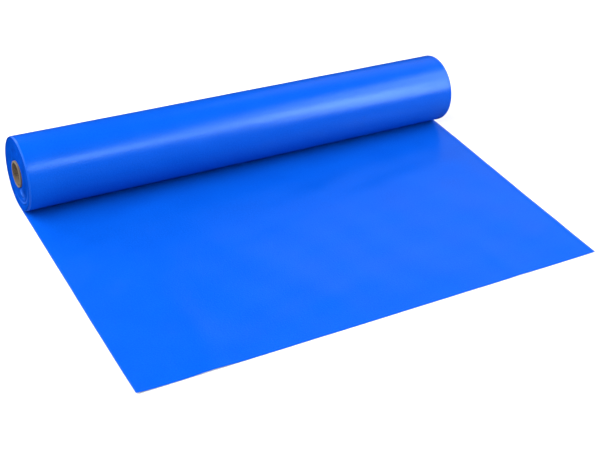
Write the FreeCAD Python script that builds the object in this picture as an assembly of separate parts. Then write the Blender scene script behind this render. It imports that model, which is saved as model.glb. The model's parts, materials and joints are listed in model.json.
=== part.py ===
"""Backdrop roll: a wide web wound on a spiral-wound cardboard core, lying on its side.

The free end of the web is drawn out flat from under the roll. X runs along the roll, -Y points from
the roll to the free edge, Z is up, and the floor is at Z = 0. The origin is on the floor, in the middle
of the whole part's width and depth. Sizes are in millimetres.
"""
import FreeCAD, Part
import math
import os

from FreeCAD import Vector

# The web
WEB_WIDTH = 1219.0  # along the roll, edge to edge
WEB_GAUGE = 0.5  # thickness of one layer
LAID_LENGTH = 729.0  # flat on the floor, from the line where the roll stands to the free edge
ROLL_RADIUS = 92.25  # over the outermost turn

# The core
BORE_RADIUS = 28.575
PLY_THICKNESS = 0.6
PLY_COUNT = 7
CORE_PROUD = 3.0  # how far the core stands out past the web, at each end

# The tapes that hold the web's inner end to the core
TAPE_WIDTH = 48.0  # along the roll
TAPE_LENGTH = 60.0  # round the core
TAPE_THICKNESS = 0.2
TAPE_INSET = 140.0  # from an edge of the web to the middle of the nearest tape

# Clearances
RUNNING_GAP = 0.4  # between the outermost turn and the stock that turns inside it
TAIL_ANGLE = 2.0  # degrees by which the outermost turn stops short of one whole turn

# Places worked out from the sizes above
CONTACT_Y = (LAID_LENGTH - ROLL_RADIUS) / 2  # the line where the roll stands on the floor
FREE_EDGE_Y = CONTACT_Y - LAID_LENGTH
FRONT_RADIUS = ROLL_RADIUS - WEB_GAUGE / 2  # the outermost turn comes back down one layer higher
FRONT_CENTRE_Z = WEB_GAUGE + FRONT_RADIUS
AXIS_Z = FRONT_CENTRE_Z
STOCK_RADIUS = FRONT_RADIUS - WEB_GAUGE - RUNNING_GAP
CORE_LENGTH = WEB_WIDTH + 2 * CORE_PROUD
CORE_RADIUS = BORE_RADIUS + PLY_COUNT * PLY_THICKNESS

ALONG_ROLL = Vector(1, 0, 0)


def ring(inner_radius, outer_radius, length, middle_x=0.0):
    """A tube on the roll's axis, centred on middle_x."""
    base = Vector(middle_x - length / 2, CONTACT_Y, AXIS_Z)
    outside = Part.makeCylinder(outer_radius, length, base, ALONG_ROLL)
    inside = Part.makeCylinder(inner_radius, length, base, ALONG_ROLL)
    return outside.cut(inside)


def core_plies():
    """The core's wall as one tube of board per ply, from the bore outwards."""
    last = PLY_COUNT - 1
    names = ["core_inner_ply"]
    names += [f"core_body_ply_{n}" for n in range(1, last)]
    names += ["core_outer_ply"]
    plies = {}
    for n, name in enumerate(names):
        inner_radius = BORE_RADIUS + n * PLY_THICKNESS
        plies[name] = ring(inner_radius, inner_radius + PLY_THICKNESS, CORE_LENGTH)
    return plies


def starter_tape(middle_x):
    """A patch of tape on the core's outer face, as a part of a tube centred on the top of the core."""
    whole = ring(CORE_RADIUS, CORE_RADIUS + TAPE_THICKNESS, TAPE_WIDTH, middle_x)
    half_angle = TAPE_LENGTH / CORE_RADIUS / 2
    reach = 2 * CORE_RADIUS
    centre = Vector(middle_x - TAPE_WIDTH / 2, CONTACT_Y, AXIS_Z)
    sides = [
        centre + Vector(0, reach * math.sin(angle), reach * math.cos(angle))
        for angle in (-half_angle, 0.0, half_angle)
    ]
    sector = Part.Face(Part.makePolygon([centre, *sides, centre]))
    return whole.common(sector.extrude(Vector(TAPE_WIDTH, 0, 0)))


def starter_tapes():
    """Three tapes: one near each edge of the web and one in the middle."""
    end_x = WEB_WIDTH / 2 - TAPE_INSET
    places = {"left": -end_x, "middle": 0.0, "right": end_x}
    return {f"starter_tape_{side}": starter_tape(x) for side, x in places.items()}


def web_wound(tapes):
    """The wound stock, from the core out to the layer under the outermost turn."""
    stock = ring(CORE_RADIUS, STOCK_RADIUS, WEB_WIDTH)
    for tape in tapes:
        stock = stock.cut(tape)
    return stock


def on_circle(radius, centre_z, angle):
    """The point of a circle over the contact line, angle degrees round from the floor by the back."""
    turn = math.radians(angle)
    y = CONTACT_Y + radius * math.sin(turn)
    return Vector(-WEB_WIDTH / 2, y, centre_z - radius * math.cos(turn))


def arc(radius, centre_z, start, end):
    """The edge round such a circle from one angle to another."""
    angles = (start, (start + end) / 2, end)
    return Part.Arc(*(on_circle(radius, centre_z, angle) for angle in angles)).toShape()


def web_outer_turn():
    """One layer: up the back from the floor, over the top, and down the front onto the laid web."""
    tail = 360.0 - TAIL_ANGLE
    inner_back = ROLL_RADIUS - WEB_GAUGE
    inner_front = FRONT_RADIUS - WEB_GAUGE
    outer = [
        arc(ROLL_RADIUS, ROLL_RADIUS, 0.0, 180.0),
        arc(FRONT_RADIUS, FRONT_CENTRE_Z, 180.0, tail),
    ]
    inner = [
        arc(inner_front, FRONT_CENTRE_Z, tail, 180.0),
        arc(inner_back, ROLL_RADIUS, 180.0, 0.0),
    ]
    tail_end = Part.makeLine(
        on_circle(FRONT_RADIUS, FRONT_CENTRE_Z, tail), on_circle(inner_front, FRONT_CENTRE_Z, tail)
    )
    start_end = Part.makeLine(
        on_circle(inner_back, ROLL_RADIUS, 0.0), on_circle(ROLL_RADIUS, ROLL_RADIUS, 0.0)
    )
    profile = Part.Face(Part.Wire([*outer, tail_end, *inner, start_end]))
    return profile.extrude(Vector(WEB_WIDTH, 0, 0))


def web_laid():
    """The web that lies flat, from the free edge to the line where the roll stands."""
    corner = Vector(-WEB_WIDTH / 2, FREE_EDGE_Y, 0)
    return Part.makeBox(WEB_WIDTH, LAID_LENGTH, WEB_GAUGE, corner)


def build():
    """Every sub-part by name."""
    tapes = starter_tapes()
    nodes = {**core_plies(), **tapes}
    nodes["web_wound"] = web_wound(tapes.values())
    nodes["web_outer_turn"] = web_outer_turn()
    nodes["web_laid"] = web_laid()
    return nodes


os.makedirs("parts", exist_ok=True)
for name, shape in build().items():
    if not shape.isValid() or len(shape.Solids) != 1:
        raise ValueError(f"{name} is not one valid solid")
    shape.Solids[0].exportStep(f"parts/{name}.step")
    box = shape.BoundBox
    print(f"{name}: {box.XLength:.2f} x {box.YLength:.2f} x {box.ZLength:.2f}, {shape.Volume:.0f} mm3")
print(f"axis at Y {CONTACT_Y}, Z {AXIS_Z}; free edge at Y {FREE_EDGE_Y}; stock radius {STOCK_RADIUS}")
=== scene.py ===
"""Looks of a backdrop roll: a satin-faced blue web on a cardboard core, with its free end drawn out flat.

Metres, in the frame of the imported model: X along the roll, -Y towards the free edge, Z up from the floor.
"""
import json
import math

import bpy
import numpy as np
from mathutils import Matrix, Vector


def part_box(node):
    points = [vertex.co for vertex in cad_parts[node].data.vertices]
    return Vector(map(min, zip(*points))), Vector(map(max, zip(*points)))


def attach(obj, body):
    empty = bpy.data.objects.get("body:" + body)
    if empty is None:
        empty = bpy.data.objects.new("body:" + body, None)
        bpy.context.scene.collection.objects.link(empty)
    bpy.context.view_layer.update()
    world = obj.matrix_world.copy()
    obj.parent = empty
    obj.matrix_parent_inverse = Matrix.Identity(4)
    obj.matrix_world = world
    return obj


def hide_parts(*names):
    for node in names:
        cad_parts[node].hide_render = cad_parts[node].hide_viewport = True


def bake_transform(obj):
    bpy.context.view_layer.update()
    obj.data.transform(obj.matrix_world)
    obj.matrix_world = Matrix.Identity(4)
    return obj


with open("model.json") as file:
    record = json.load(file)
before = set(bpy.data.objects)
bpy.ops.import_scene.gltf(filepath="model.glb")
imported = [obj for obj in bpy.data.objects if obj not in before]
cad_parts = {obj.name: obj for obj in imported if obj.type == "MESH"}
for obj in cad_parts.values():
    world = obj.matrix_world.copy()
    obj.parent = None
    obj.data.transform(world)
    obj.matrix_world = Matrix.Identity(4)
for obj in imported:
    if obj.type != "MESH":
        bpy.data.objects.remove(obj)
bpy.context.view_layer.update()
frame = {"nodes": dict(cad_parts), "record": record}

MM = 0.001

# ---------------------------------------------------------------- sizes read from the frame

laid_low, laid_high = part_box("web_laid")
turn_low, turn_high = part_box("web_outer_turn")
wound_low, wound_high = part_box("web_wound")
bore_mount = next(m for m in frame["record"]["mounts"] if m["name"] == "core_bore")
roll_turn = next(j for j in frame["record"]["behaviour"]["joints"] if j["name"] == "roll_turn")

WIDTH = laid_high[0] - laid_low[0]
GAUGE = laid_high[2] - laid_low[2]
FREE_EDGE_Y = laid_low[1]
CONTACT_Y = laid_high[1]
LAID_LENGTH = CONTACT_Y - FREE_EDGE_Y
ROLL_RADIUS = (turn_high[2] - turn_low[2]) / 2
AXIS_Y, AXIS_Z = roll_turn["pos_m"][1:]
STOCK_RADIUS = (wound_high[2] - wound_low[2]) / 2
BORE_RADIUS = bore_mount["dims"]["r_mm"] * MM
CORE_LENGTH = bore_mount["dims"]["length_mm"] * MM
CORE_PLIES = ["core_inner_ply", *sorted(n for n in frame["nodes"] if "body_ply" in n), "core_outer_ply"]
CORE_RADIUS = (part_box(CORE_PLIES[-1])[1][2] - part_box(CORE_PLIES[-1])[0][2]) / 2
PLY = (CORE_RADIUS - BORE_RADIUS) / len(CORE_PLIES)


# ---------------------------------------------------------------- mesh helpers


def smooth_step(t):
    """0 below 0, 1 above 1, and an S curve in between."""
    t = np.clip(t, 0.0, 1.0)
    return t * t * (3 - 2 * t)


def volume(points, quads):
    """Volume inside a closed mesh, negative if its faces point inwards."""
    a, b, c, d = (points[quads[:, n]] for n in range(4))
    return (np.cross(a, b) * c).sum() + (np.cross(a, c) * d).sum()


def closed_mesh(name, points, quads, uv, material, sharp_deg=40, marks=None):
    """A closed mesh with outward faces, one UV pair per vertex in metres, and creases left sharp. marks gives
    the material further values at each vertex, by name."""
    if volume(points, quads) < 0:
        quads = quads[:, ::-1]
    mesh = bpy.data.meshes.new(name)
    mesh.from_pydata(points.tolist(), [], quads.tolist())
    layer = mesh.uv_layers.new(name="surface")
    layer.data.foreach_set("uv", uv[quads.ravel()].astype(np.float32).ravel())
    for mark, values in (marks or {}).items():
        attribute = mesh.attributes.new(mark, "FLOAT", "POINT")
        attribute.data.foreach_set("value", values.astype(np.float32).ravel())
    mesh.shade_smooth()
    mesh.set_sharp_from_angle(angle=math.radians(sharp_deg))
    mesh.materials.append(material)
    piece = bpy.data.objects.new(name, mesh)
    bpy.context.scene.collection.objects.link(piece)
    return piece


def wrapped_quads(rows, columns):
    """Quads of a grid that closes on itself both ways."""
    i, j = np.meshgrid(np.arange(rows), np.arange(columns), indexing="ij")
    ni, nj = (i + 1) % rows, (j + 1) % columns
    corners = [i * columns + j, ni * columns + j, ni * columns + nj, i * columns + nj]
    return np.stack([c.ravel() for c in corners], axis=1)


def thin_sheet(name, lower, upper, uv, material):
    """Two matching grids of points joined round their borders: the two faces and the cut edges of a sheet."""
    rows, columns = lower.shape[:2]
    count = rows * columns
    i, j = np.meshgrid(np.arange(rows - 1), np.arange(columns - 1), indexing="ij")
    a = (i * columns + j).ravel()
    face = np.stack([a, a + 1, a + columns + 1, a + columns], axis=1)
    grid = np.arange(count).reshape(rows, columns)
    border = np.concatenate([grid[0, :-1], grid[:-1, -1], grid[-1, :0:-1], grid[:0:-1, 0]])
    ahead = np.roll(border, -1)
    rim = np.stack([border, border + count, ahead + count, ahead], axis=1)
    quads = np.concatenate([face, face[:, ::-1] + count, rim])
    points = np.concatenate([lower.reshape(-1, 3), upper.reshape(-1, 3)])
    uvs = np.concatenate([uv.reshape(-1, 2)] * 2)
    return closed_mesh(name, points, quads, uvs, material)


def turned(name, x, radius, material, steps, sharp_deg=40, marks=None):
    """A closed outline carried round the roll's axis. x and radius have one row per outline point and either
    one column or one per step, so an outline can vary as it goes round."""
    angle = np.linspace(0, 2 * np.pi, steps, endpoint=False)
    x, radius, angle = np.broadcast_arrays(x, radius, angle[None, :])
    points = np.stack(
        [x, AXIS_Y + radius * np.sin(angle), AXIS_Z + radius * np.cos(angle)], axis=-1
    )
    uv = np.stack([x, radius * np.minimum(angle, 2 * np.pi - angle)], axis=-1)
    quads = wrapped_quads(*x.shape)
    return closed_mesh(name, points.reshape(-1, 3), quads, uv.reshape(-1, 2), material, sharp_deg, marks)


# ---------------------------------------------------------------- materials


def srgb(code):
    """Linear RGBA of an sRGB hex code."""
    channels = [int(code[n : n + 2], 16) / 255 for n in (0, 2, 4)]
    linear = [c / 12.92 if c <= 0.04045 else ((c + 0.055) / 1.055) ** 2.4 for c in channels]
    return (*linear, 1.0)


def add(tree, kind, values=None, links=None, **settings):
    """Adds a node with its settings, its input values, and the sockets that its inputs are linked to."""
    made = tree.nodes.new(kind)
    for key, value in settings.items():
        setattr(made, key, value)
    for key, value in (values or {}).items():
        made.inputs[key].default_value = value
    for key, socket in (links or {}).items():
        tree.links.new(socket, made.inputs[key])
    return made


def new_material(name):
    """A material with a Principled BSDF on its output, and its node tree."""
    material = bpy.data.materials.new(name)
    material.use_nodes = True
    tree = material.node_tree
    return material, tree, tree.nodes["Principled BSDF"]


def per_metre(spacing_mm):
    """Texture scale whose features are this many millimetres apart."""
    return 1 / (spacing_mm * MM)


def satin_coated_web():
    """Coated, calendered paper: a deep, saturated face under a thin satin coat. The coat's gloss comes and
    goes a little in long streaks and clouds, an orange-peel grain breaks up the highlight, and the slit edges
    are scuffed duller by handling."""
    material, tree, shader = new_material("satin_coated_web")
    uv = add(tree, "ShaderNodeUVMap", uv_map="surface").outputs["UV"]
    # Calender streaks are 45 mm apart across the web and 900 mm long.
    stretched = add(
        tree, "ShaderNodeMapping", {"Scale": (per_metre(45), per_metre(900), 1)}, {"Vector": uv}
    ).outputs[0]
    streaks = add(tree, "ShaderNodeTexNoise", {"Scale": 1.0, "Detail": 2.0}, {"Vector": stretched}).outputs[0]
    # The coat's real grain is about 0.1 mm, too fine to show, so it is drawn at 4 mm.
    grain = add(
        tree, "ShaderNodeTexNoise", {"Scale": per_metre(4), "Detail": 2.0}, {"Vector": uv}
    ).outputs[0]
    cloud = add(
        tree, "ShaderNodeTexNoise", {"Scale": per_metre(110), "Detail": 3.0}, {"Vector": uv}
    ).outputs[0]
    gloss = add(tree, "ShaderNodeMath", {1: 0.6}, {0: streaks, 2: cloud}, operation="MULTIPLY_ADD").outputs[0]
    rough = add(
        tree,
        "ShaderNodeMapRange",
        {"From Min": 0.6, "From Max": 1.0, "To Min": 0.235, "To Max": 0.268},
        {"Value": gloss},
    ).outputs[0]
    # The scuffed strip along each slit edge is 5 mm wide.
    across = add(tree, "ShaderNodeSeparateXYZ", links={0: uv}).outputs[0]
    from_middle = add(tree, "ShaderNodeMath", links={0: across}, operation="ABSOLUTE").outputs[0]
    scuffed = add(
        tree,
        "ShaderNodeMapRange",
        {"From Min": WIDTH / 2 - 5 * MM, "From Max": WIDTH / 2 - 1 * MM, "To Min": 0.0, "To Max": 0.2},
        {"Value": from_middle},
    ).outputs[0]
    duller = add(tree, "ShaderNodeMath", links={0: rough, 1: scuffed}, operation="ADD").outputs[0]
    bump = add(tree, "ShaderNodeBump", {"Strength": 1.0, "Distance": 0.4 * MM}, {"Height": grain})
    mottle = add(
        tree, "ShaderNodeMath", {1: 1.2, 2: -0.35}, {0: grain}, operation="MULTIPLY_ADD"
    ).outputs[0]
    depth = add(
        tree, "ShaderNodeMath", {1: 0.5}, {0: cloud, 2: mottle}, operation="MULTIPLY_ADD"
    ).outputs[0]
    colour = add(tree, "ShaderNodeMix", links={0: depth}, data_type="RGBA")
    colour.inputs["A"].default_value = srgb("0341A9")
    colour.inputs["B"].default_value = srgb("034EBC")
    tree.links.new(colour.outputs["Result"], shader.inputs["Base Color"])
    tree.links.new(duller, shader.inputs["Roughness"])
    tree.links.new(bump.outputs[0], shader.inputs["Normal"])
    shader.inputs["IOR"].default_value = 1.42
    shader.inputs["Specular IOR Level"].default_value = 0.35
    shader.inputs["Specular Tint"].default_value = srgb("C8FFFF")
    return material


def slit_web_edges():
    """Slit edges of coated paper, packed side by side: dyed through and dull from the slitting knife. A paler
    colour is painted where turns have sprung out and their coated face shows, as a painted glint."""
    material, tree, shader = new_material("slit_web_edges")
    place = add(tree, "ShaderNodeTexCoord").outputs["Object"]
    blotch = add(
        tree, "ShaderNodeTexNoise", {"Scale": per_metre(22), "Detail": 3.0}, {"Vector": place}
    ).outputs[0]
    # The knife's real bite is about 0.2 mm, too fine to show, so it is drawn at 1.5 mm.
    bite = add(tree, "ShaderNodeTexNoise", {"Scale": per_metre(1.5), "Detail": 2.0}, {"Vector": place})
    bump = add(tree, "ShaderNodeBump", {"Strength": 0.15, "Distance": 0.3 * MM}, {"Height": bite.outputs[0]})
    dull = add(tree, "ShaderNodeMix", links={0: blotch}, data_type="RGBA")
    dull.inputs["A"].default_value = srgb("033089")
    dull.inputs["B"].default_value = srgb("0443AA")
    # Painted glint: a paler blue where sprung turns and an arc of coated face would catch the light.
    painted_glint = add(tree, "ShaderNodeAttribute", attribute_name="painted_glint").outputs["Fac"]
    colour = add(tree, "ShaderNodeMix", links={0: painted_glint, "A": dull.outputs["Result"]}, data_type="RGBA")
    colour.inputs["B"].default_value = srgb("2E62C4")
    tree.links.new(colour.outputs["Result"], shader.inputs["Base Color"])
    tree.links.new(bump.outputs[0], shader.inputs["Normal"])
    shader.inputs["Roughness"].default_value = 0.6
    shader.inputs["IOR"].default_value = 1.40
    shader.inputs["Specular IOR Level"].default_value = 0.0
    return material


PLY_STRIP = 118  # mm along the core for one turn of a ply's strip


def kraft_core_board():
    """Spirally wound kraft board: grey-brown, dull and blotchy, with pulp fibres, paler on its sawn ends, and
    with a fine dark seam where the edges of each ply's strip meet as it winds along the tube."""
    material, tree, shader = new_material("kraft_core_board")
    place = add(tree, "ShaderNodeTexCoord").outputs["Object"]
    fibres = add(
        tree, "ShaderNodeTexNoise", {"Scale": per_metre(2.2), "Detail": 5.0}, {"Vector": place}
    ).outputs[0]
    blotches = add(
        tree, "ShaderNodeTexNoise", {"Scale": per_metre(28), "Detail": 2.0}, {"Vector": place}
    ).outputs[0]
    mixed = add(tree, "ShaderNodeMath", links={0: fibres, 1: blotches}, operation="ADD").outputs[0]
    ramp = add(tree, "ShaderNodeValToRGB", links={"Fac": mixed})
    ramp.color_ramp.elements[0].position, ramp.color_ramp.elements[1].position = 0.8, 1.2
    ramp.color_ramp.elements[0].color = srgb("40362A")
    ramp.color_ramp.elements[1].color = srgb("645647")
    # The seam winds once round the axis in each strip's width.
    centred = add(
        tree, "ShaderNodeMapping", {"Location": (0, -AXIS_Y, -AXIS_Z)}, {"Vector": place}
    ).outputs[0]
    split = add(tree, "ShaderNodeSeparateXYZ", links={0: centred}).outputs
    round_axis = add(tree, "ShaderNodeMath", links={0: split[1], 1: split[2]}, operation="ARCTAN2").outputs[0]
    turns = add(tree, "ShaderNodeMath", {1: 1 / (2 * math.pi)}, {0: round_axis}, operation="MULTIPLY")
    wound = add(
        tree,
        "ShaderNodeMath",
        {1: per_metre(PLY_STRIP)},
        {0: split[0], 2: turns.outputs[0]},
        operation="MULTIPLY_ADD",
    )
    phase = add(tree, "ShaderNodeMath", {1: 0.5}, {0: wound.outputs[0]}, operation="PINGPONG").outputs[0]
    # Half the seam's drawn width as a part of the strip: 0.9 mm, where the real one is 0.3 mm.
    seam = add(
        tree,
        "ShaderNodeMapRange",
        {"From Min": 0.0, "From Max": 0.9 / PLY_STRIP, "To Min": 1.0, "To Max": 0.0},
        {"Value": phase},
    ).outputs[0]
    seamed = add(tree, "ShaderNodeMix", links={0: seam, "A": ramp.outputs[0]}, data_type="RGBA")
    seamed.inputs["B"].default_value = srgb("241C14")
    cut = add(tree, "ShaderNodeAttribute", attribute_name="cut").outputs["Fac"]
    colour = add(tree, "ShaderNodeMix", links={0: cut, "A": seamed.outputs["Result"]}, data_type="RGBA")
    colour.inputs["B"].default_value = srgb("6B6154")
    bump = add(tree, "ShaderNodeBump", {"Strength": 0.3, "Distance": 0.4 * MM}, {"Height": fibres})
    tree.links.new(colour.outputs["Result"], shader.inputs["Base Color"])
    tree.links.new(bump.outputs[0], shader.inputs["Normal"])
    shader.inputs["Roughness"].default_value = 0.9
    shader.inputs["Specular IOR Level"].default_value = 0.2
    return material


def creped_tape():
    """Creped paper masking tape: cream, with a half-dull back crossed by fine ridges."""
    material, tree, shader = new_material("creped_tape")
    place = add(tree, "ShaderNodeTexCoord").outputs["Object"]
    # Crepe ridges are about 0.6 mm apart, drawn at 1.2 mm.
    ridges = add(
        tree,
        "ShaderNodeMapping",
        {"Scale": (per_metre(9), per_metre(1.2), per_metre(1.2))},
        {"Vector": place},
    )
    crepe = add(tree, "ShaderNodeTexNoise", {"Scale": 1.0, "Detail": 2.0}, {"Vector": ridges.outputs[0]})
    bump = add(tree, "ShaderNodeBump", {"Strength": 0.5, "Distance": 0.3 * MM}, {"Height": crepe.outputs[0]})
    colour = add(tree, "ShaderNodeMix", links={0: crepe.outputs[0]}, data_type="RGBA")
    colour.inputs["A"].default_value = srgb("B3A275")
    colour.inputs["B"].default_value = srgb("C5BA94")
    tree.links.new(colour.outputs["Result"], shader.inputs["Base Color"])
    tree.links.new(bump.outputs[0], shader.inputs["Normal"])
    shader.inputs["Roughness"].default_value = 0.7
    return material


def studio_floor():
    """Matt white sweep: lit by the softboxes near the roll, and kept pale further out, where they don't
    reach, by a glow that grows from 2.2 m to 5 m."""
    material, tree, shader = new_material("matt_white_sweep")
    place = add(tree, "ShaderNodeTexCoord").outputs["Object"]
    distance = add(tree, "ShaderNodeVectorMath", links={0: place}, operation="LENGTH").outputs["Value"]
    glow = add(
        tree,
        "ShaderNodeMapRange",
        {"From Min": 2.2, "From Max": 5.0, "To Min": 0.2, "To Max": 1.0},
        {"Value": distance},
    )
    tree.links.new(glow.outputs[0], shader.inputs["Emission Strength"])
    shader.inputs["Base Color"].default_value = srgb("CACACA")
    shader.inputs["Roughness"].default_value = 1.0
    shader.inputs["Specular IOR Level"].default_value = 0.0
    shader.inputs["Emission Color"].default_value = srgb("FFFFFF")
    return material


# ---------------------------------------------------------------- the web

CRUSH_WIDTH = 4.5 * MM  # the outer turns' edges are crushed round over this width
CRUSH_DEPTH = 1.9 * MM


def edge_crush(x):
    """How far the wound web is pressed in near its edges: a quarter ellipse, CRUSH_WIDTH wide and
    CRUSH_DEPTH deep."""
    inside = np.clip(1 - (WIDTH / 2 - np.abs(x)) / CRUSH_WIDTH, 0, 1)
    return CRUSH_DEPTH * (1 - np.sqrt(1 - 0.96 * inside**2))


def stations_across(interior):
    """Places across the web, closer together over the crushed edges."""
    near_edge = WIDTH / 2 - CRUSH_WIDTH * np.array([0, 0.05, 0.12, 0.22, 0.36, 0.55, 0.8])
    middle = np.linspace(-WIDTH / 2 + CRUSH_WIDTH, WIDTH / 2 - CRUSH_WIDTH, interior)
    return np.concatenate([-near_edge, middle, near_edge[::-1]])


def gauge_bands(x):
    """How far the roll stands up at each place across: the web is not quite the same thickness all over, so a
    wound roll has soft hoops. A sum of sines 210, 88, 41 and 23 mm long, all above zero."""
    waves = [(0.16, 210, 0.4), (0.07, 88, 1.9), (0.035, 41, 4.0), (0.016, 23, 2.2)]
    height = sum(size * (1 + np.sin(2 * np.pi * x / (length * MM) + turn)) for size, length, turn in waves)
    return height / 2 * MM


# Soft ridges in the laid web: how far across from the middle as a part of the width, how far in from the
# free edge as a part of the laid length, and heading in degrees from the roll's length; then half-length,
# half-width and height in mm. Most run along the web, as they do when it is pulled off a roll.
RIDGES = [
    (-0.35, 0.15, 85, 230, 30, 3.0),
    (0.30, 0.65, 10, 130, 25, 2.5),
    (0.45, 0.60, 90, 60, 25, 2.0),
    (0.30, 0.10, 90, 60, 20, 2.0),
]


EDGE_BAND = 0.12  # the cockles grow to full height over this distance from the sheet's edges
FLAT_BY_ROLL = 0.012  # the sheet is flat this far out from the contact line
ROLL_BAND = 0.14  # and its waves grow to full height over this distance from there
LEFT_CURL = 4.4  # mm that the free corners curl up
RIGHT_CURL = 1.5


def laid_lift(x, y):
    """Height of the laid web's underside over the floor. Shallow cockles lie askew to the web, each a sine
    along its own heading whose crests bend a little, and they flatten towards the sheet's edges. RIDGES lie
    over them as bell curves, the two free corners curl up by a few millimetres, and all of it flattens
    towards the roll."""
    to_contact = CONTACT_Y - y
    to_free_edge = y - FREE_EDGE_Y
    to_left = x + WIDTH / 2
    to_right = WIDTH / 2 - x
    # Each cockle: height in mm, wavelength in mm, heading in degrees from the roll's length, and its phase.
    cockles = [(1.1, 310, 62, 0.3), (0.85, 190, 128, 1.7), (0.55, 140, 20, 4.1), (0.4, 90, 100, 2.6)]
    waves = np.zeros_like(x)
    for height, length, heading, turn in cockles:
        along = x * math.cos(math.radians(heading)) + y * math.sin(math.radians(heading))
        bend = 0.8 * np.sin(2 * np.pi * (x - 0.7 * y) / 0.61 + turn)
        waves = waves + height * (1 + np.sin(2 * np.pi * along / (length * MM) + turn + bend))
    to_edge = np.minimum(np.minimum(to_left, to_right), to_free_edge)
    waves = waves * (0.25 + 0.75 * smooth_step(to_edge / EDGE_BAND))
    for across, inward, heading, half_length, half_width, height in RIDGES:
        cosine, sine = math.cos(math.radians(heading)), math.sin(math.radians(heading))
        away_x = (x - across * WIDTH) / MM
        away_y = (to_free_edge - inward * LAID_LENGTH) / MM
        along = (away_x * cosine + away_y * sine) / half_length
        aside = (away_y * cosine - away_x * sine) / half_width
        waves = waves + height * np.exp(-(along**2 + aside**2) / 2)
    left_corner = LEFT_CURL * np.exp(-to_left / 0.03) * np.exp(-to_free_edge / 0.10)
    right_corner = RIGHT_CURL * np.exp(-to_right / 0.06) * np.exp(-to_free_edge / 0.06)
    lift = (waves + left_corner + right_corner) * MM
    return lift * smooth_step((to_contact - FLAT_BY_ROLL) / ROLL_BAND)


STATIONS_ACROSS = 120  # between the crushed edges
LAID_STEPS = 120
TURN_STEPS = 240
TURN_DEGREES = 358.5  # a small gap keeps the end of the turn off its start


def web(material):
    """The laid web and the outermost turn as one sheet. Along its length the middle of the sheet goes
    straight over the floor and then round a spiral whose radius falls by one gauge in a turn."""
    across = stations_across(STATIONS_ACROSS)
    flat_steps = np.linspace(0, LAID_LENGTH, LAID_STEPS + 1)
    angles = np.linspace(0, math.radians(TURN_DEGREES), TURN_STEPS + 1)[1:]
    turn_radius = ROLL_RADIUS - GAUGE * angles / (2 * np.pi)
    turn_steps = LAID_LENGTH + np.cumsum(turn_radius) * (angles[1] - angles[0])

    x, along = np.meshgrid(across, flat_steps, indexing="ij")
    y = FREE_EDGE_Y + along
    lift = laid_lift(x, y)
    flat_lower = np.stack([x, y, lift], axis=-1)
    flat_upper = np.stack([x, y, lift + GAUGE], axis=-1)

    x, angle = np.meshgrid(across, angles, indexing="ij")
    standing = gauge_bands(x) - edge_crush(x)
    outer = turn_radius[None, :] + standing * smooth_step(angle / 0.6)

    def on_turn(radius):
        y = CONTACT_Y + radius * np.sin(angle)
        return np.stack([x, y, ROLL_RADIUS - radius * np.cos(angle)], axis=-1)

    lower = np.concatenate([flat_lower, on_turn(outer)], axis=1)
    upper = np.concatenate([flat_upper, on_turn(outer - GAUGE)], axis=1)
    length = np.concatenate([flat_steps, turn_steps])
    uv = np.stack(np.meshgrid(across, length, indexing="ij"), axis=-1)
    piece = thin_sheet("web", lower, upper, uv, material)
    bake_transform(piece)
    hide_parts("web_laid", "web_outer_turn")
    return piece


# ---------------------------------------------------------------- the wound stock

DRAWN_PITCH = 1.6 * MM  # one drawn turn for three real ones, which would be too fine to show
RING_STEPS = 240
SPRUNG_RADIUS = 50 * MM  # turns about here stick out of the end face
SPRUNG_SPREAD = 12 * MM
SHIFTED_RADIUS = 66 * MM  # turns outside this one stand out a little
GAPING_RADII = (60 * MM, 69 * MM, 78 * MM)
# The painted glint also lies along an arc this far out.
GLINT_ARC_RADIUS = 73 * MM  # an arc of coated face shows here
GLINT_ARC_SPREAD = 2.4 * MM
RIM_BAND = 5 * MM  # the outermost turns fall back over this width


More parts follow.
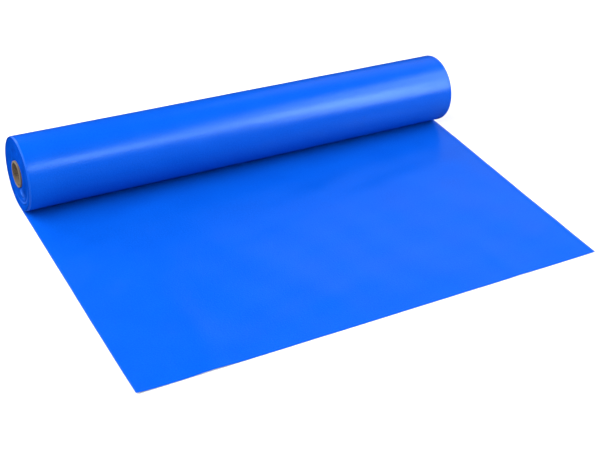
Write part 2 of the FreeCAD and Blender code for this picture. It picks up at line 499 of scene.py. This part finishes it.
def end_profile(rng, loose_at):
    """Radii of an end face's rings, how far each stands out at each step round, and how much painted glint it
    has there. Four rings make a drawn turn: the first is down in the groove between two turns and the others
    are on the turn's edge. Turns wander in and out together in broad hoops, each has a little play of its
    own, and some are scalloped. Near loose_at (degrees round from the top) three turns gape and a few further
    in have sprung out. A paler colour is painted on those and along an arc between two of the gaps, as a
    painted glint of the coated face that shows there. The sprung turns and the arc fade as bell curves, in
    radius and round the axis."""
    turns = int((STOCK_RADIUS - CORE_RADIUS) / DRAWN_PITCH)
    pitch = (STOCK_RADIUS - CORE_RADIUS) / turns
    across_turn = np.array([0.0, 0.16, 0.5, 0.84])
    radius = CORE_RADIUS + (np.arange(turns)[:, None] + across_turn) * pitch
    angle = np.linspace(0, 2 * np.pi, RING_STEPS, endpoint=False)[None, :]
    middle = radius[:, 2, None]
    hoops = np.convolve(rng.normal(0, 1, turns + 8), np.hanning(11)[1:-1] / 1.9, "valid")[:, None]
    own = rng.normal(0, 1, (turns, 1))
    phase = np.cumsum(rng.normal(0, 0.35, (turns, 1)), axis=0)
    scallops = np.cos(3 * angle - phase) + 0.6 * np.cos(7 * angle - 2.1 * phase)
    away = (angle - math.radians(loose_at) + np.pi) % (2 * np.pi) - np.pi
    sprung = np.exp(-((away / 0.2) ** 2)) * np.exp(-(((middle - SPRUNG_RADIUS) / SPRUNG_SPREAD) ** 2))
    shifted = smooth_step((middle - SHIFTED_RADIUS) / (2 * MM))
    edge = 0.8 * hoops + 0.14 * own + 0.2 * scallops + 2.6 * sprung + 0.5 * shifted - 0.9
    near_rim = np.clip(1 - (STOCK_RADIUS - middle) / RIM_BAND, 0, 1)
    edge = edge - 1.6 * near_rim**2
    gaping = sum(np.abs(middle - gap) < pitch / 2 for gap in GAPING_RADII)
    gape = gaping * np.exp(-((away / 0.8) ** 2))
    edge = edge - 2.2 * gape
    groove_depth = 0.25 + 0.12 * np.abs(own) + 0.8 * gape
    out = np.repeat(edge[:, None, :], 4, axis=1)
    out[:, 0, :] -= groove_depth
    out[:, 2, :] += 0.04
    out[0, 0, :] = edge[0]
    # Painted glint: a paler colour along an arc between two gaps and on the sprung turns.
    glint_arc = np.exp(-(((middle - GLINT_ARC_RADIUS) / GLINT_ARC_SPREAD) ** 2)) * np.exp(-((away / 0.75) ** 2))
    painted_glint = np.clip(sprung + 0.8 * glint_arc, 0, 1)
    painted_glint = np.repeat(painted_glint[:, None, :], 4, axis=1).reshape(-1, RING_STEPS)
    return radius.ravel(), out.reshape(-1, RING_STEPS) * MM, painted_glint


def wound_stock(material):
    """Both end faces and the cylinder between them, as one closed outline carried round the axis. The rim is
    crushed round under the outermost turn's edge."""
    rng = np.random.default_rng(7)
    end_x = WIDTH / 2
    left_radius, left_out, left_painted_glint = end_profile(rng, loose_at=216)
    right_radius, right_out, right_painted_glint = end_profile(rng, loose_at=70)
    rim_radius = STOCK_RADIUS - edge_crush(end_x)
    shrink = (rim_radius - CORE_RADIUS) / (STOCK_RADIUS - CORE_RADIUS)
    left_radius, right_radius = (
        CORE_RADIUS + (radius - CORE_RADIUS) * shrink for radius in (left_radius, right_radius)
    )
    side_x = stations_across(9)[1:-1]
    side_radius = STOCK_RADIUS - 0.1 * MM - edge_crush(side_x)
    side = side_x[:, None] + np.zeros((1, RING_STEPS))
    x = np.concatenate([-end_x - left_out, side, (end_x + right_out)[::-1]])
    radius = np.concatenate([left_radius, side_radius, right_radius[::-1]])[:, None]
    # The end faces' rings carry the painted glint, a paler colour on the slit edges.
    painted_glint = np.concatenate([left_painted_glint, 0 * side, right_painted_glint[::-1]])
    piece = turned("wound_stock", x, radius, material, RING_STEPS, sharp_deg=60, marks={"painted_glint": painted_glint})
    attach(piece, "roll")
    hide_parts("web_wound")
    return piece


# ---------------------------------------------------------------- the core


def core_ply(node, index, material, rng):
    """One ply of the core's wall: a thin tube with slightly ragged cut ends."""
    inner = BORE_RADIUS + index * PLY + 0.02 * MM
    outer = BORE_RADIUS + (index + 1) * PLY - 0.02 * MM
    steps = 180
    end_x = CORE_LENGTH / 2 + rng.uniform(-0.15, 0.05) * MM
    ragged = rng.normal(0, 0.06 * MM, (2, steps))
    corner = 0.12 * MM
    along = np.linspace(-end_x + 2 * MM, end_x - 2 * MM, 3)
    x = np.concatenate([[-end_x + corner, -end_x, -end_x, -end_x + corner], along])
    x = np.concatenate([x, -x[:4][::-1], along[::-1]])[:, None] + np.zeros((1, steps))
    radius = np.array(
        [inner, inner + corner, outer - corner, outer, *[outer] * 3]
        + [outer, outer - corner, inner + corner, inner, *[inner] * 3]
    )[:, None]
    x[1:3] += ragged[0]
    x[8:10] += ragged[1]
    cut = np.zeros_like(x)
    cut[0:4] = cut[7:11] = 1.0
    piece = turned(node + "_board", x, radius, material, steps, marks={"cut": cut})
    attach(piece, "roll")
    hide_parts(node)
    return piece


# ---------------------------------------------------------------- build


def build_object():
    """Every visible piece."""
    face, edges = satin_coated_web(), slit_web_edges()
    board, tape = kraft_core_board(), creped_tape()
    web(face)
    wound_stock(edges)
    rng = np.random.default_rng(21)
    for index, node in enumerate(CORE_PLIES):
        core_ply(node, index, board, rng)
    for name, piece in frame["nodes"].items():
        if name.startswith("starter_tape"):
            for slot_index in range(len(piece.material_slots)):
                piece.material_slots[slot_index].material = tape


STAND_CENTRE = Vector((0, 0, 0.1))
STAND_DISTANCE = 3.5

# Each softbox: its azimuth from the front towards the right, its elevation, its width and height in metres,
# and its power in watts. All stand on steps of 15 degrees. A large one on the left lights the sheet. The
# camera is at the left front, so the roll mirrors the right front, where a tall strip and its neighbours draw
# the highlight along it, and the sheet mirrors the back right, where a weak one gives it a little gloss.
SOFTBOXES = {
    "left_softbox": (-90, 45, 3.0, 2.5, 200),
    "front_softbox": (15, 45, 1.0, 1.0, 35),
    "key_strip": (45, 30, 1.0, 2.0, 85),
    "front_right_softbox": (60, 45, 2.0, 2.0, 60),
    "right_softbox": (90, 30, 1.0, 2.0, 50),
    "back_right_softbox": (135, 30, 2.0, 2.0, 6),
    "back_left_softbox": (-150, 30, 2.5, 1.5, 90),
}


def softbox(name, azimuth, elevation, width, height, power):
    """A rectangular softbox on a sphere of STAND_DISTANCE round STAND_CENTRE, facing its middle."""
    data = bpy.data.lights.new(name, "AREA")
    data.shape = "RECTANGLE"
    data.size, data.size_y = width, height
    data.energy = power
    around, up = math.radians(azimuth), math.radians(elevation)
    outward = Vector((math.sin(around) * math.cos(up), -math.cos(around) * math.cos(up), math.sin(up)))
    light = bpy.data.objects.new(name, data)
    light.location = STAND_CENTRE + STAND_DISTANCE * outward
    light.rotation_euler = (-outward).to_track_quat("-Z", "Y").to_euler()
    bpy.context.scene.collection.objects.link(light)
    return light


def studio():
    """A white floor and wall, softboxes all round, and little light from the rest of the room."""
    bpy.ops.mesh.primitive_plane_add(size=40, location=(0, 0, -0.5 * MM))
    floor = bpy.context.object
    floor.name = "floor"
    floor.data.materials.append(studio_floor())
    floor.visible_glossy = False  # so that the web's gloss mirrors the softboxes and not the floor
    world = bpy.data.worlds.new("studio")
    bpy.context.scene.world = world
    world.use_nodes = True
    tree = world.node_tree
    dim_room = tree.nodes["Background"]
    dim_room.inputs["Color"].default_value = srgb("323232")
    white_wall = add(tree, "ShaderNodeBackground", {"Color": srgb("FFFFFF")})
    seen = add(tree, "ShaderNodeLightPath").outputs["Is Camera Ray"]
    room = add(
        tree, "ShaderNodeMixShader", links={0: seen, 1: dim_room.outputs[0], 2: white_wall.outputs[0]}
    )
    tree.links.new(room.outputs[0], tree.nodes["World Output"].inputs["Surface"])
    for name, row in SOFTBOXES.items():
        softbox(name, *row)


def camera():
    """Looks down at the roll from its left front, tilted a little about the line of sight."""
    azimuth, elevation, tilt = math.radians(-32.62), math.radians(34.79), math.radians(5.588)
    distance = 2.8311
    target = Vector((-0.0116, CONTACT_Y - 0.3402, 0))
    back = Vector((
        math.sin(azimuth) * math.cos(elevation),
        -math.cos(azimuth) * math.cos(elevation),
        math.sin(elevation),
    ))
    turn = Matrix.Rotation(azimuth, 4, "Z") @ Matrix.Rotation(math.pi / 2 - elevation, 4, "X")
    data = bpy.data.cameras.new("camera")
    data.lens = 68.8
    data.sensor_width = 36
    eye = bpy.data.objects.new("camera", data)
    eye.matrix_world = (
        Matrix.Translation(target + back * distance) @ turn @ Matrix.Rotation(tilt, 4, "Z")
    )
    bpy.context.scene.collection.objects.link(eye)
    bpy.context.scene.camera = eye


build_object()
studio()
camera()
bpy.context.scene.view_settings.view_transform = "Standard"
